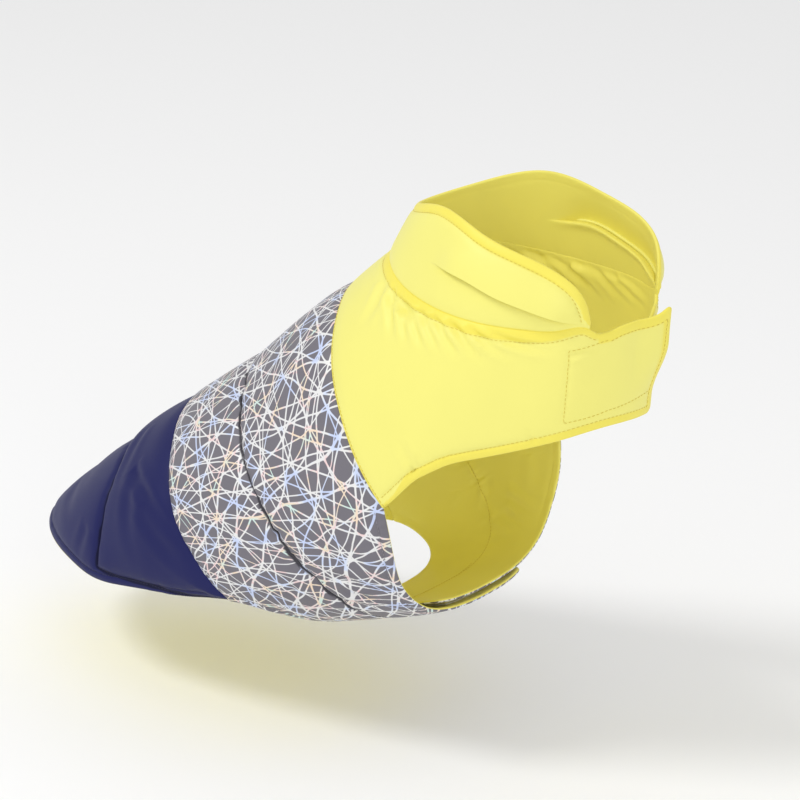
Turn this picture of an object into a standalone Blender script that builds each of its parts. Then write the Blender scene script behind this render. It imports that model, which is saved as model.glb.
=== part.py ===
"""Quilted jacket for a small dog, in the form that it keeps on a seated dog, with nobody in it.

Every panel is a wall on one shared figure. A place on the figure is a station, from 0 at the top
of the collar to 8 at the tail, and an angle in degrees round the body: 0 at the spine, 90 at the
wearer's right side, 180 at the chest or belly, and negative on the left side. X points to the
nose, Y to the wearer's left and Z up. The origin is on the spine, at the withers, on the inner
face of the yoke. All lengths are in metres.
"""
import bmesh
import bpy
import numpy as np

# ---------------------------------------------------------------- driving dimensions
SEAM_GAP = 0.0003        # air between two pieces that a seam joins
EDGE_WALL = 0.0022       # cloth and seam allowance, pressed flat at a seam or an edge
FLAP_WALL = 0.0024       # flat wall where two flaps close over each other
TAPE_WALL = 0.0008       # hook tape or loop tape
TAPE_GAP = 0.0004        # air on each side of a tape
FLAP_LIFT = FLAP_WALL + 2 * TAPE_WALL + 3 * TAPE_GAP    # right flap over left flap
LIFT_FROM, LIFT_TO = 118.0, 150.0                       # angles between which it climbs
ROLL_WIDTH = 0.0055      # width of a rolled edge, out to its topstitching
ROLL_HEIGHT = 0.0012     # how far the roll stands above a pressed edge
GROOVE_HEIGHT = 0.0002   # height left under the topstitching
COLLAR_LOFT, YOKE_LOFT, MIDDLE_LOFT, REAR_LOFT = 0.0018, 0.0022, 0.0034, 0.0040
LOFT_ROUNDNESS = 0.6     # below 1, a channel is fuller than a half sine
COLLAR_END = 147.0       # angle where each end of the collar stops
ARMHOLE = 105.0          # angle of the top corner of each leg opening
REAR_TIP = 122.5         # angle where the rear panel runs out into the hem
FLAP_END = 205.0         # angle where a flap ends, but for the right chest flap
RIGHT_FLAP_END = 192.0   # the right chest flap lies on top and is shorter
SPINE, COLUMN_STEP = 0.0, 6.0
CORNER_COLUMNS = (101, 107, 110, 114, 118, 127, 132, 138, 143, 151, 157)
FLAP_COLUMNS = (162, 168, 174, 180, 186, 192, 198)      # the same seen from either flap
PANEL_ROWS, REAR_ROWS, TAPE_ROWS = 6, 5, 4              # rows of faces across a channel or tape
SHARP_ANGLE = 50.0

# Upright sections of the figure: its point on the spine, its point on the chest or belly, half
# its width, how far the widest place lies towards the spine, and how square the belly is.
SECTION_COLUMNS = ("back_x", "back_z", "front_x", "front_z", "half_width", "shift", "square")
SECTIONS = (
    (0.051, 0.062, 0.205, 0.081, 0.055, -0.05, 0.00),      # 0 top of the collar
    (0.025, 0.022, 0.195, 0.011, 0.066, -0.12, 0.00),      # 1 neck seam
    (-0.018, -0.014, 0.188, -0.065, 0.082, 0.00, 0.00),    # 2 point of the shoulder
    (-0.055, -0.046, 0.160, -0.137, 0.090, 0.00, 0.04),    # 3 leg opening
    (-0.089, -0.073, 0.104, -0.173, 0.091, 0.00, 0.08),    # 4 front edge of the belly band
    (-0.127, -0.100, 0.036, -0.195, 0.089, 0.00, 0.12),    # 5 seam to the rear panel
    (-0.171, -0.137, -0.040, -0.226, 0.086, 0.00, 0.12),   # 6 loin
    (-0.215, -0.173, -0.113, -0.279, 0.078, 0.00, 0.05),   # 7 hip
    (-0.257, -0.207, -0.163, -0.326, 0.067, 0.00, 0.00),   # 8 tail
)

# Lines on the figure, alike on both sides unless a flap's side is named. The columns of each
# table are the angle in degrees and the station.
COLLAR_TOP = ((0, 0.04), (30, -0.05), (63, -0.14), (74, -0.06), (91, 0.12), (106, 0.245),
              (126, 0.41), (134, 0.50), (140, 0.60), (144, 0.71), (147, 0.83))
NECK_SEAM = ((0, 0.82), (33, 0.84), (51, 0.905), (64, 0.945), (85, 0.975), (101, 0.97),
             (118, 0.955), (134, 0.925), (146, 0.90), (151, 0.95), (157, 0.95), (166, 0.94))
RIGHT_FLAP_TOP = ((157, 0.95), (163, 0.92), (176, 0.905), (186, 0.87), (192, 0.80))
LEFT_FLAP_TOP = ((157, 0.95), (166, 1.02), (180, 1.07), (205, 1.10))
YOKE_SEAM = ((0, 1.62), (29, 1.66), (45, 1.82), (59, 2.04), (78, 2.42), (89, 2.67), (98, 2.85),
             (105, 2.97))
STRAP_EDGE = ((105, 2.97), (107, 2.66), (110, 2.46), (114, 2.31), (120, 2.18), (132, 2.00),
              (144, 1.86), (160, 1.75), (180, 1.74), (205, 1.80))
LEFT_STRAP_EDGE = ((144, 1.86), (155, 1.77), (166, 1.68), (180, 1.64), (205, 1.62))
BELLY_FRONT = ((105, 2.97), (112, 3.22), (120, 3.50), (128, 3.75), (139, 3.98), (153, 4.14),
               (168, 4.20), (180, 4.21), (205, 4.21))
MIDDLE_QUILT = ((0, 3.55), (42, 3.57), (53, 3.72), (73, 3.99), (101, 4.34), (119, 4.51),
                (140, 4.65), (160, 4.73), (180, 4.75), (205, 4.75))
REAR_SEAM = ((0, 5.12), (25, 5.03), (43, 5.05), (62, 5.22), (75, 5.36), (94, 5.52),
             (107, 5.61), (123, 5.69))
REAR_QUILT = ((0, 6.12), (14, 6.08), (41, 6.05), (53, 6.22), (67, 6.45), (84, 6.79), (123, 7.80))
HEM = ((0, 8.13), (12, 8.09), (24, 7.95), (44, 7.63), (70, 7.10), (85, 6.82), (104, 6.32), (115, 6.01),
       (123, 5.69), (131, 5.50), (139, 5.38), (150, 5.30), (165, 5.27), (205, 5.27))
QUILT_REACH = 0.86       # share of the rear panel at which its quilt line runs into the hem
NARROW_LOFT = 0.2        # filling left in the last channel where it runs out, as a share

# Soft folds that fan out below the neck seam of the yoke, and the one deep fold of the collar.
FOLD_FROM, FOLD_TO, FOLD_PITCH, FOLD_HEIGHT = 42.0, 102.0, 12.0, 0.0012
FOLD_FADE = (0.1, 0.75)        # shares of the yoke's length between which they die away
COLLAR_FOLD = ((66, 0.50), (88, 0.57), (101, 0.67), (115, 0.73), (126, 0.79), (147, 0.85))
COLLAR_FOLD_HEIGHT, COLLAR_FOLD_WIDTH = 0.0024, 0.16

# Where the tapes lie: the angles and the stations between which they are sewn on.
CHEST_TAPE = (162.0, 186.0, 1.16, 1.54)
BELLY_TAPE = (162.0, 198.0, 4.32, 5.14)

CANARY, SILVER_GREY, NAVY, TAPE_GREY = "F5EE6E", "8C8A92", "2E2F5C", "D9D3B0"
SHELL_ROUGHNESS, TAPE_ROUGHNESS = 0.45, 0.9


# ---------------------------------------------------------------- figure
def spline(knots, rows, at):
    """Natural cubic through the rows at the knots, read at each place in at."""
    knots = np.asarray(knots, float)
    rows = np.asarray(rows, float).reshape(len(knots), -1)
    at = np.asarray(at, float)
    step = np.diff(knots)
    slope = np.diff(rows, axis=0) / step[:, None]
    system = np.eye(len(knots))
    bend = np.zeros_like(rows)
    for i in range(1, len(knots) - 1):
        system[i, i - 1:i + 2] = step[i - 1], 2 * (step[i - 1] + step[i]), step[i]
        bend[i] = 6 * (slope[i] - slope[i - 1])
    bend = np.linalg.solve(system, bend)
    i = np.clip(np.searchsorted(knots, at, side="right") - 1, 0, len(knots) - 2)
    width = step[i][..., None]
    t = (at - knots[i])[..., None] / width
    curve = ((1 - t) ** 3 - (1 - t)) * bend[i] + (t ** 3 - t) * bend[i + 1]
    return (1 - t) * rows[i] + t * rows[i + 1] + width ** 2 / 6 * curve


def line(table, angles):
    """Station of a line at each angle; a line that starts at the spine crosses it squarely."""
    rows = list(table)
    if rows[0][0] == SPINE:
        rows = [(-angle, station) for angle, station in rows[:0:-1]] + rows
    knots, stations = zip(*rows)
    return spline(knots, stations, np.abs(angles))[..., 0]


def smooth_step(start, end, value):
    t = np.clip((value - start) / (end - start), 0, 1)
    return t * t * (3 - 2 * t)


def figure(stations, angles):
    """Points of the figure that the jacket lies on."""
    rows = spline(range(len(SECTIONS)), SECTIONS, stations)
    at = dict(zip(SECTION_COLUMNS, np.moveaxis(rows, -1, 0)))
    cos, sin = np.cos(np.radians(angles)), np.sin(np.radians(angles))
    bulge = 1 + at["square"] * np.where(cos < 0, (2 * cos * sin) ** 2, 0)
    spineward = (cos + at["shift"] * sin ** 2) * bulge
    x = (at["back_x"] + at["front_x"]) / 2 + (at["back_x"] - at["front_x"]) / 2 * spineward
    z = (at["back_z"] + at["front_z"]) / 2 + (at["back_z"] - at["front_z"]) / 2 * spineward
    return np.stack([x, -at["half_width"] * sin * bulge, z], -1)


def outward(stations, angles, nudge=1e-3):
    """Unit normals of the figure."""
    along = figure(stations + nudge, angles) - figure(stations - nudge, angles)
    around = figure(stations, angles + 1) - figure(stations, angles - 1)
    normal = np.cross(along, around)
    return normal / np.linalg.norm(normal, axis=-1, keepdims=True)


def metres_per_station(stations, angles, nudge=1e-3):
    step = figure(stations + nudge, angles) - figure(stations - nudge, angles)
    return np.linalg.norm(step, axis=-1) / (2 * nudge)


def place(stations, angles, height):
    """Points at a height above the inner face; the right flaps climb over the left ones."""
    lift = FLAP_LIFT * smooth_step(LIFT_FROM, LIFT_TO, angles)
    return figure(stations, angles) + outward(stations, angles) * (height + lift)[..., None]


# ---------------------------------------------------------------- panels
def columns(reach):
    """Angles of the columns of a panel that reaches equally far round both sides."""
    even = np.arange(SPINE, ARMHOLE, COLUMN_STEP)
    ends = (ARMHOLE, REAR_TIP, COLLAR_END, FLAP_END)
    half = np.unique([*even, *ends, *CORNER_COLUMNS, *FLAP_COLUMNS])
    half = half[half <= reach]
    return np.concatenate([-half[:0:-1], half])


def inset(stations, angles, side):
    """An edge drawn back by half the gap of its seam, towards higher (1) or lower (-1) stations."""
    return stations + side * SEAM_GAP / 2 / metres_per_station(stations, angles)


def channel(first, last, angles, loft, count, roll_first=False, roll_last=False):
    """Stations and heights of the rows of one filled channel between two lines."""
    roll = np.minimum(ROLL_WIDTH / metres_per_station(first, angles), (last - first) / 4)
    low, high, head, tail = first, last, [], []
    if roll_first:
        head = [(first, 0), (first + roll / 2, ROLL_HEIGHT)]
        low = first + roll
    if roll_last:
        tail = [(last - roll / 2, ROLL_HEIGHT), (last, 0)]
        high = last - roll
    body = []
    for share in np.linspace(0, 1, count + 1):
        fill = loft * np.sin(np.pi * share) ** LOFT_ROUNDNESS if 0 < share < 1 else 0
        rolled = (roll_first and share == 0) or (roll_last and share == 1)
        body.append((low + share * (high - low), GROOVE_HEIGHT if rolled else fill))
    rows = head + body + tail
    stations = np.array([row[0] for row in rows])
    heights = np.array([row[1] * np.ones_like(angles) for row in rows])
    return stations, heights


def flatten_flaps(heights, angles):
    """Less filling towards the flaps, which close flat over each other."""
    flat = smooth_step(LIFT_FROM, LIFT_TO, np.abs(angles))
    return EDGE_WALL + heights * (1 - flat) + (FLAP_WALL - EDGE_WALL) * flat


def material(name, colour, roughness):
    finish = bpy.data.materials.new(name)
    finish.use_nodes = True
    shader = finish.node_tree.nodes["Principled BSDF"]
    shades = [int(colour[i:i + 2], 16) / 255 for i in (0, 2, 4)]
    linear = [c / 12.92 if c <= 0.04045 else ((c + 0.055) / 1.055) ** 2.4 for c in shades]
    shader.inputs["Base Color"].default_value = (*linear, 1)
    shader.inputs["Roughness"].default_value = roughness
    shader.inputs["Metallic"].default_value = 0
    return finish


def wall(name, inner, outer, finish):
    """One closed wall between an inner and an outer grid of points."""
    rows, cols = inner.shape[:2]
    form = bmesh.new()
    inside = [[form.verts.new(point) for point in row] for row in inner]
    outside = [[form.verts.new(point) for point in row] for row in outer]
    for r in range(rows - 1):
        for c in range(cols - 1):
            form.faces.new((outside[r][c], outside[r + 1][c], outside[r + 1][c + 1], outside[r][c + 1]))
            form.faces.new((inside[r][c], inside[r][c + 1], inside[r + 1][c + 1], inside[r + 1][c]))
    for r in range(rows - 1):
        form.faces.new((outside[r][0], inside[r][0], inside[r + 1][0], outside[r + 1][0]))
        form.faces.new((inside[r][-1], outside[r][-1], outside[r + 1][-1], inside[r + 1][-1]))
    for c in range(cols - 1):
        form.faces.new((inside[0][c], outside[0][c], outside[0][c + 1], inside[0][c + 1]))
        form.faces.new((outside[-1][c], inside[-1][c], inside[-1][c + 1], outside[-1][c + 1]))
    bmesh.ops.triangulate(form, faces=form.faces[:], quad_method="FIXED")
    mesh = bpy.data.meshes.new(name)
    form.to_mesh(mesh)
    form.free()
    mesh.shade_smooth()
    mesh.set_sharp_from_angle(angle=np.radians(SHARP_ANGLE))
    mesh.materials.append(finish)
    piece = bpy.data.objects.new(name, mesh)
    bpy.context.collection.objects.link(piece)
    return piece


def panel(name, angles, stations, thickness, finish):
    angles = np.broadcast_to(angles, stations.shape)
    inner = place(stations, angles, np.zeros_like(stations))
    outer = place(stations, angles, thickness)
    return wall(name, inner, outer, finish)


def make_collar(finish):
    """Stand collar, open at the throat, with one deep slanting fold on each side."""
    angles = columns(COLLAR_END)
    top = line(COLLAR_TOP, angles)
    seam = inset(line(NECK_SEAM, angles), angles, -1)
    stations, heights = channel(top, seam, angles, COLLAR_LOFT, PANEL_ROWS, roll_first=True)
    fold = line(COLLAR_FOLD, np.maximum(np.abs(angles), COLLAR_FOLD[0][0]))
    depth = smooth_step(COLLAR_FOLD[0][0], COLLAR_FOLD[2][0], np.abs(angles))
    above = (fold - stations) / COLLAR_FOLD_WIDTH
    ridge = np.where(above > 0, np.exp(-above ** 2), 0)
    heights[1:-1] += (COLLAR_FOLD_HEIGHT * depth * ridge)[1:-1]
    return panel("collar", angles, stations, EDGE_WALL + heights, finish)


def yoke_edges(angles):
    """The top edge and the lower edge of the yoke, flaps and straps included."""
    reach = np.abs(angles)
    flap = np.where(angles > 0, line(RIGHT_FLAP_TOP, reach), line(LEFT_FLAP_TOP, reach))
    top = np.where(reach < RIGHT_FLAP_TOP[0][0], inset(line(NECK_SEAM, angles), angles, 1), flap)
    left = (angles < 0) & (reach > LEFT_STRAP_EDGE[0][0])
    strap = np.where(left, line(LEFT_STRAP_EDGE, reach), line(STRAP_EDGE, reach))
    seam = inset(line(YOKE_SEAM, angles), angles, -1)
    return top, np.where(reach <= ARMHOLE, seam, strap)


def make_yoke(finish):
    """Shoulder yoke, cut in one with the two chest flaps that close at the front."""
    angles = columns(FLAP_END)
    angles = angles[angles <= RIGHT_FLAP_END]
    top, low = yoke_edges(angles)
    stations, heights = channel(top, low, angles, YOKE_LOFT, PANEL_ROWS, True, True)
    share = (stations - top) / (low - top)
    reach = np.abs(angles)
    fan = (reach > FOLD_FROM) & (reach < FOLD_TO)
    wave = np.cos(2 * np.pi * (reach - FOLD_FROM - FOLD_PITCH / 2) / FOLD_PITCH)
    heights[3:-3] += (FOLD_HEIGHT * fan * wave * (1 - smooth_step(*FOLD_FADE, share)))[3:-3]
    return panel("yoke", angles, stations, flatten_flaps(heights, angles), finish)


def middle_edges(angles):
    """The front and rear edges of the middle panel, its belly flaps included."""
    reach = np.abs(angles)
    seam = inset(line(YOKE_SEAM, angles), angles, 1)
    front = np.where(reach <= ARMHOLE, seam, line(BELLY_FRONT, np.maximum(reach, ARMHOLE)))
    rear = np.where(reach <= REAR_TIP, inset(line(REAR_SEAM, angles), angles, -1), line(HEM, angles))
    return front, rear


def make_middle_panel(finish):
    """Printed middle panel, quilted across once, with a belly flap on each side."""
    angles = columns(FLAP_END)
    front, rear = middle_edges(angles)
    quilt = line(MIDDLE_QUILT, angles)
    first, first_heights = channel(front, quilt, angles, MIDDLE_LOFT, PANEL_ROWS)
    second, second_heights = channel(quilt, rear, angles, MIDDLE_LOFT, PANEL_ROWS)
    stations = np.concatenate([first, second[1:]])
    heights = np.concatenate([first_heights, second_heights[1:]])
    return panel("middle_panel", angles, stations, flatten_flaps(heights, angles), finish)


def make_rear_panel(finish):
    """Rear panel over the rump, quilted across once, with a rounded tail."""
    angles = columns(REAR_TIP)
    seam = inset(line(REAR_SEAM, angles), angles, 1)
    hem = line(HEM, angles)
    quilt = np.minimum(line(REAR_QUILT, angles), seam + QUILT_REACH * (hem - seam))
    first, first_heights = channel(seam, quilt, angles, REAR_LOFT, REAR_ROWS)
    second, second_heights = channel(quilt, hem, angles, REAR_LOFT, REAR_ROWS, roll_last=True)
    narrow = np.clip(2 * (hem - quilt) / (hem - quilt).max(), NARROW_LOFT, 1)
    stations = np.concatenate([first, second[1:]])
    heights = np.concatenate([first_heights, (second_heights * narrow)[1:]])
    return panel("rear_panel", angles, stations, EDGE_WALL + heights, finish)


def make_tapes(place_name, patch, hook_finish, loop_finish):
    """Loop tape on the left flap and hook tape on the inner face of the right flap."""
    start, end, first, last = patch
    angles = columns(FLAP_END)
    angles = angles[(angles >= start) & (angles <= end)]
    stations = np.repeat(np.linspace(first, last, TAPE_ROWS + 1)[:, None], len(angles), axis=1)
    angles = np.broadcast_to(angles, stations.shape)
    loop_foot = FLAP_WALL + TAPE_GAP - FLAP_LIFT
    hook_foot = loop_foot + TAPE_WALL + TAPE_GAP
    for kind, foot, finish in (("loop", loop_foot, loop_finish), ("hook", hook_foot, hook_finish)):
        inner = place(stations, angles, np.full(stations.shape, foot))
        outer = place(stations, angles, np.full(stations.shape, foot + TAPE_WALL))
        wall(f"{place_name}_{kind}_tape", inner, outer, finish)


def main():
    for thing in list(bpy.data.objects):
        bpy.data.objects.remove(thing, do_unlink=True)
    make_collar(material("collar_shell", CANARY, SHELL_ROUGHNESS))
    make_yoke(material("yoke_shell", CANARY, SHELL_ROUGHNESS))
    make_middle_panel(material("printed_shell", SILVER_GREY, SHELL_ROUGHNESS))
    make_rear_panel(material("rear_shell", NAVY, SHELL_ROUGHNESS))
    hook = material("hook_tape", TAPE_GREY, TAPE_ROUGHNESS)
    loop = material("loop_tape", CANARY, TAPE_ROUGHNESS)
    make_tapes("chest", CHEST_TAPE, hook, loop)
    make_tapes("belly", BELLY_TAPE, hook, loop)


main()
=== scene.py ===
from functools import partial

import bpy
import numpy as np
from mathutils import Matrix, Vector
from mathutils.bvhtree import BVHTree
from mathutils.kdtree import KDTree


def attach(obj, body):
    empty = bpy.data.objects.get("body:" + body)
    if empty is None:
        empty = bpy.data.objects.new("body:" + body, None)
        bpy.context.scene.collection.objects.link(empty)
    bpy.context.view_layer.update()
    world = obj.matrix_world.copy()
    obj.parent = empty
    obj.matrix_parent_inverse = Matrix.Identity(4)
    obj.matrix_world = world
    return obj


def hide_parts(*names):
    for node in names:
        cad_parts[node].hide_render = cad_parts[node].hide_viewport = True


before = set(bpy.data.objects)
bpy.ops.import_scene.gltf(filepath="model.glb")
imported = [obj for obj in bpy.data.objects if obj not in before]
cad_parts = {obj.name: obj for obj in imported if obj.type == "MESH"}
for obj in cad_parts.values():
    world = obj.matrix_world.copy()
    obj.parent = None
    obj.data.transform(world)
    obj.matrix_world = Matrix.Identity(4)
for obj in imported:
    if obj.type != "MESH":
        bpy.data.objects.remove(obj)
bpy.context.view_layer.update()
bpy.ops.object.select_all(action="DESELECT")


# ------------------------------ Studio
# A pale floor under plain soft light, with nothing on it. The jacket stays at the height at which
# it is worn, so the floor lies below it. The camera stands at the photograph's viewing angle.

FLOOR_HEIGHT = -0.287
FLOOR_SIZE = 12.0
FLOOR_WHITE = "FCFCFC"
CAMERA_TURN, CAMERA_RISE = np.radians(38.0), np.radians(20.0)
CAMERA_RANGE, CAMERA_LENS, CAMERA_SENSOR = 1.9, 140.0, 36.0
RIGHTWARD = Vector((np.cos(CAMERA_TURN), np.sin(CAMERA_TURN), 0))
BACKWARD = Vector((
    np.sin(CAMERA_TURN) * np.cos(CAMERA_RISE),
    -np.cos(CAMERA_TURN) * np.cos(CAMERA_RISE),
    np.sin(CAMERA_RISE),
))
UPWARD = BACKWARD.cross(RIGHTWARD)
AIM = RIGHTWARD * 0.0195 - UPWARD * 0.067 + Vector((0, 0, -0.007))


def linear(shade):
    """The linear colour of an sRGB hex value."""
    parts = [int(shade[i:i + 2], 16) / 255 for i in (0, 2, 4)]
    return (*[c / 12.92 if c <= 0.04045 else ((c + 0.055) / 1.055) ** 2.4 for c in parts], 1)


def add(tree, kind, links=(), **settings):
    """One node: settings are its properties or named sockets, links give a socket a source or value."""
    node = tree.nodes.new("ShaderNode" + kind)
    for name, value in settings.items():
        if hasattr(node, name):
            setattr(node, name, value)
        else:
            node.inputs[name.replace("_", " ")].default_value = value
    for socket, source in dict(links).items():
        if isinstance(source, bpy.types.NodeSocket):
            tree.links.new(source, node.inputs[socket])
        else:
            node.inputs[socket].default_value = source
    return node


def new_material(name):
    finish = bpy.data.materials.new(name)
    finish.use_nodes = True
    return finish, finish.node_tree, finish.node_tree.nodes["Principled BSDF"]


camera_data = bpy.data.cameras.new("photo_camera")
camera_data.lens, camera_data.sensor_width = CAMERA_LENS, CAMERA_SENSOR
camera = bpy.data.objects.new("photo_camera", camera_data)
bpy.context.collection.objects.link(camera)
axes = Matrix((RIGHTWARD, UPWARD, BACKWARD)).transposed().to_4x4()
camera.matrix_world = Matrix.Translation(AIM + BACKWARD * CAMERA_RANGE) @ axes
bpy.context.scene.camera = camera
bpy.context.scene.view_settings.view_transform = "Standard"

bpy.ops.mesh.primitive_plane_add(size=FLOOR_SIZE, location=(0, 0, FLOOR_HEIGHT))
floor = bpy.context.object
floor.name = "floor"
# White paper without shine, which shows only soft shadows.
finish, tree, shader = new_material("matt_white_paper")
shader.inputs["Base Color"].default_value = linear(FLOOR_WHITE)
shader.inputs["Roughness"].default_value = 0.9
shader.inputs["Specular IOR Level"].default_value = 0.1
floor.data.materials.append(finish)

world = bpy.data.worlds.new("white_room")
bpy.context.scene.world = world
world.use_nodes = True
world.node_tree.nodes["Background"].inputs["Color"].default_value = linear("FFFFFF")
world.node_tree.nodes["Background"].inputs["Strength"].default_value = 0.73

# Each lamp: its name, place, size across in metres and power in watts. All aim at the jacket.
LAMPS = (
    ("soft_key", (-0.9, -1.7, 2.4), 0.9, 32.0),
    ("front_fill", (2.0, -1.4, 0.8), 1.6, 12.0),
)
for name, place, size, power in LAMPS:
    lamp = bpy.data.lights.new(name, "AREA")
    lamp.shape, lamp.size, lamp.energy = "DISK", size, power
    holder = bpy.data.objects.new(name, lamp)
    bpy.context.collection.objects.link(holder)
    holder.location = place
    holder.rotation_euler = (AIM - Vector(place)).to_track_quat("-Z", "Y").to_euler()


# ------------------------------ Yoke
# Shoulder yoke of canary satin polyester over thin wadding and a lining, cut in one with the two
# chest flaps that close at the front. It is bagged out, turned, and topstitched along its free
# edges and under the neck seam. Soft folds fan out below the neck, where the cloth is drawn in.

# The figure under the jacket, as in the part. Lines on it are tables of an angle in degrees round
# it, from 0 at the spine to 180 at the belly, and a station, from 0 at the collar to 8 at the tail.
# Columns: the point on the spine (x, z), the point on the chest or belly (x, z), half the width,
# how far the widest place lies towards the spine, and how square the belly is. A row a station.
SECTIONS = (
    (0.051, 0.062, 0.205, 0.081, 0.055, -0.05, 0.00),
    (0.025, 0.022, 0.195, 0.011, 0.066, -0.12, 0.00),
    (-0.018, -0.014, 0.188, -0.065, 0.082, 0.00, 0.00),
    (-0.055, -0.046, 0.160, -0.137, 0.090, 0.00, 0.04),
    (-0.089, -0.073, 0.104, -0.173, 0.091, 0.00, 0.08),
    (-0.127, -0.100, 0.036, -0.195, 0.089, 0.00, 0.12),
    (-0.171, -0.137, -0.040, -0.226, 0.086, 0.00, 0.12),
    (-0.215, -0.173, -0.113, -0.279, 0.078, 0.00, 0.05),
    (-0.257, -0.207, -0.163, -0.326, 0.067, 0.00, 0.00),
)
MM = 0.001
FLAP_LIFT = 5.2 * MM  # right flap over left flap
LIFT_FROM, LIFT_TO = 118.0, 150.0  # angles between which it climbs
FLAPS_APART = 25 * MM  # for measuring distances on one flap only
ARMHOLE, FLAP_END = 105.0, 205.0
RIGHT_FLAP_END = 192.0  # the right chest flap lies on top and is shorter
EDGE_RADIUS = 1.1 * MM  # half the thickness of a turned edge
SEAM_LAP = 0.4 * MM  # how far each of two sewn panels reaches past their seam
HEM_STITCH = 5.5 * MM  # from a turned edge to its topstitching
FLAP_DEGREE = 1.5 * MM  # length of one degree round the figure at the flap ends
COLUMN_PITCH = 1.15  # degrees between the columns of a wall
ARMHOLE_COLUMNS = ((101, 116, 0.4),)  # closer columns at the armhole: from, to and pitch
EDGE_ROWS = np.array((0, 0.08, 0.3, 0.65, 1.1, 1.7, 2.5, 3.4, 4.3, 5.0, 5.6, 6.3, 7.2, 8.4)) * MM

NECK_SEAM = ((0, 0.82), (33, 0.84), (51, 0.905), (64, 0.945), (85, 0.975), (101, 0.97),
             (118, 0.955), (134, 0.925), (146, 0.90), (151, 0.95), (157, 0.95), (166, 0.94))
RIGHT_FLAP_TOP = ((157, 0.95), (163, 0.92), (176, 0.905), (186, 0.87), (192, 0.80))
LEFT_FLAP_TOP = ((157, 0.95), (166, 1.02), (180, 1.07), (205, 1.10))
YOKE_SEAM = ((0, 1.62), (29, 1.66), (45, 1.82), (59, 2.04), (78, 2.42), (89, 2.67), (98, 2.85),
             (105, 2.97))
STRAP_EDGE = ((105, 2.97), (107, 2.66), (110, 2.46), (114, 2.31), (120, 2.18), (132, 2.00),
              (144, 1.86), (160, 1.75), (180, 1.74), (205, 1.80))
LEFT_STRAP_EDGE = ((144, 1.86), (155, 1.77), (166, 1.68), (180, 1.64), (205, 1.62))

YOKE_ROWS = (56,)
YOKE_LOFT, YOKE_FULLNESS = 2.6 * MM, 7 * MM
YOKE_SWELL = (0.5 * MM, 70 * MM, 12 * MM)  # height and size of broad swells, and the calm margin
FLAT_FLAP_LOFT, FLAT_FLAP_CALM = 0.75, 0.8  # shares of filling and unevenness that the flaps lack
TURNED_BORDER = (0.5 * MM, 0.3 * MM)  # softness of the border of doubled cloth, out and in
FLAT_INSIDE, SOFT_INSIDE = 0.2, 0.25  # filling on the inside, for each part of it outside
FLAP_CORNER = 5 * MM
FLAP_FLARE, FLARE_FROM = 8.2 * MM, 173.0  # the stiff end of the right flap stands off the chest
FLARE_STATIONS = (1.62, 1.15)  # stations between which it grows
SEAM_TURN = 2.0 * MM  # cloth that is doubled beside the grey seam
STITCH_DEPTH, STITCH_PULL = 0.8, 1.3 * MM
FLAP_END_HEM, END_BORDER = 1.8, (0.3, 0.2)  # degrees more that are turned in at its end, and border

# Soft folds under the neck seam: angle and station of the points along each, depth and width in
# millimetres.
YOKE_FOLDS = (
    (((52, 1.04), (62, 1.22), (72, 1.45)), 2.2, 3.0),
    (((58, 1.06), (67, 1.17), (79, 1.41)), 3.0, 2.8),
    (((63, 1.07), (73, 1.17), (86, 1.38)), 3.6, 2.8),
    (((71, 1.06), (80, 1.16), (92, 1.33)), 3.4, 2.7),
    (((78, 1.05), (87, 1.15), (99, 1.32)), 3.2, 2.6),
    (((86, 1.04), (96, 1.14), (108, 1.30)), 2.7, 2.6),
    (((95, 1.03), (105, 1.12), (118, 1.21)), 2.0, 2.4),
    (((106, 1.03), (119, 1.08), (135, 1.11)), 1.4, 2.4),
    (((44, 1.02), (51, 1.24), (57, 1.55)), 1.4, 3.6),
    (((139, 1.94), (137, 1.86), (133, 1.76)), 0.9, 2.2),
    (((109, 2.52), (104, 2.38), (97, 2.22)), 1.1, 3.0),
    (((141, 1.13), (147, 1.09), (154, 1.065)), 1.0, 1.9),
)


def spline(knots, rows, at):
    """Natural cubic through the rows at the knots, read at each place in at."""
    knots = np.asarray(knots, float)
    rows = np.asarray(rows, float).reshape(len(knots), -1)
    at = np.asarray(at, float)
    step = np.diff(knots)
    slope = np.diff(rows, axis=0) / step[:, None]
    system = np.eye(len(knots))
    bend = np.zeros_like(rows)
    for i in range(1, len(knots) - 1):
        system[i, i - 1:i + 2] = step[i - 1], 2 * (step[i - 1] + step[i]), step[i]
        bend[i] = 6 * (slope[i] - slope[i - 1])
    bend = np.linalg.solve(system, bend)
    i = np.clip(np.searchsorted(knots, at, side="right") - 1, 0, len(knots) - 2)
    width = step[i][..., None]
    t = (at - knots[i])[..., None] / width
    curve = ((1 - t) ** 3 - (1 - t)) * bend[i] + (t ** 3 - t) * bend[i + 1]
    return (1 - t) * rows[i] + t * rows[i + 1] + width ** 2 / 6 * curve


def line(table, angles):
    """Station of a line at each angle, alike on both sides of the spine."""
    rows = list(table)
    if rows[0][0] == 0:
        rows = [(-angle, station) for angle, station in rows[:0:-1]] + rows
    knots, stations = zip(*rows)
    return spline(knots, stations, np.abs(angles))[..., 0]


def smooth_step(start, end, value):
    t = np.clip((value - start) / (end - start), 0, 1)
    return t * t * (3 - 2 * t)


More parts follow.
